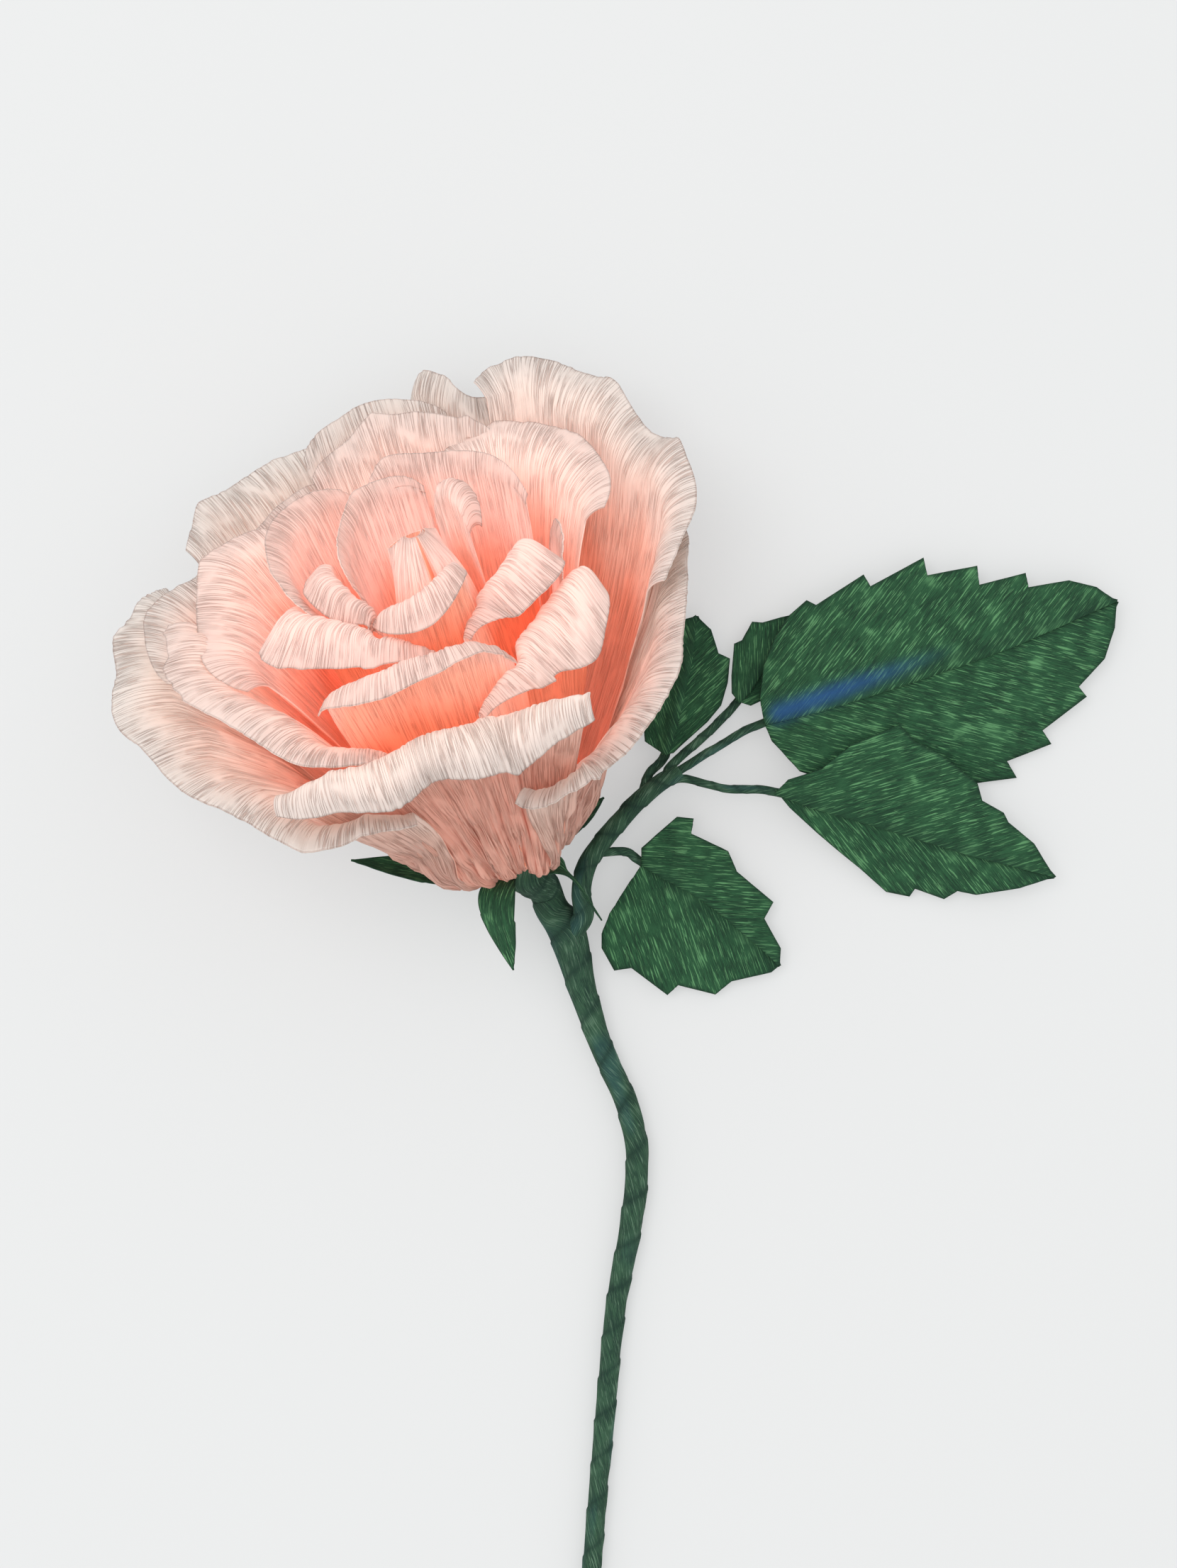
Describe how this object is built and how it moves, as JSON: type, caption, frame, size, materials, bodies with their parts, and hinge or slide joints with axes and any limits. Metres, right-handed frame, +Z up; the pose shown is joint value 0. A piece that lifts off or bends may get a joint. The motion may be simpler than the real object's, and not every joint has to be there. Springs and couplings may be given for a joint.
{
  "type": "paper rose",
  "caption": "Open rose of crinkled crepe paper, with cupped and rolled petals round a rolled bud, on a wrapped wire stem with sepals and a leaf of toothed leaflets. It lies on its side.",
  "frame": {"origin": "middle of the lying rose's footprint, on the surface it lies on", "axes": "+Z up; +Y along the length, from the stem's cut end towards the flower's far side; +X towards the leaf"},
  "size_m": [0.205, 0.3128, 0.0768],
  "materials": {
    "inner_petal_paper": "matte crinkled",
    "outer_petal_paper": "matte crinkled",
    "leaf_paper": "matte crinkled",
    "stem_paper": "matte stretched",
    "bare_wire": "dull"
  },
  "bodies": {
    "root": {"rolled_bud": "inner_petal_paper", "petal_01": "inner_petal_paper", "petal_02": "inner_petal_paper", "petal_03": "inner_petal_paper", "petal_04": "inner_petal_paper", "petal_05": "inner_petal_paper", "petal_06": "inner_petal_paper", "petal_07": "inner_petal_paper", "petal_08": "inner_petal_paper", "petal_09": "inner_petal_paper", "petal_10": "inner_petal_paper", "petal_11": "inner_petal_paper", "petal_12": "outer_petal_paper", "petal_13": "outer_petal_paper", "petal_14": "outer_petal_paper", "petal_15": "outer_petal_paper", "petal_16": "outer_petal_paper", "petal_17": "outer_petal_paper", "petal_18": "outer_petal_paper", "petal_19": "outer_petal_paper", "petal_20": "outer_petal_paper", "petal_21": "outer_petal_paper", "petal_22": "outer_petal_paper", "petal_23": "outer_petal_paper", "petal_24": "outer_petal_paper", "leaflet_1_left": "leaf_paper", "leaflet_1_right": "leaf_paper", "leaflet_2_left": "leaf_paper", "leaflet_2_right": "leaf_paper", "leaflet_3_left": "leaf_paper", "leaflet_3_right": "leaf_paper", "leaflet_4_left": "leaf_paper", "leaflet_4_right": "leaf_paper", "leaflet_5_left": "leaf_paper", "leaflet_5_right": "leaf_paper", "sepal_1": "leaf_paper", "sepal_2": "leaf_paper", "sepal_3": "leaf_paper", "sepal_4": "leaf_paper", "sepal_5": "leaf_paper", "leaf_stalk": "stem_paper", "leaf_wire_1": "stem_paper", "leaf_wire_2": "stem_paper", "leaf_wire_3": "stem_paper", "leaf_wire_4": "stem_paper", "leaf_wire_5": "stem_paper", "stem_wrap": "stem_paper", "stem_wire": "bare_wire"}
  },
  "joints": []
}
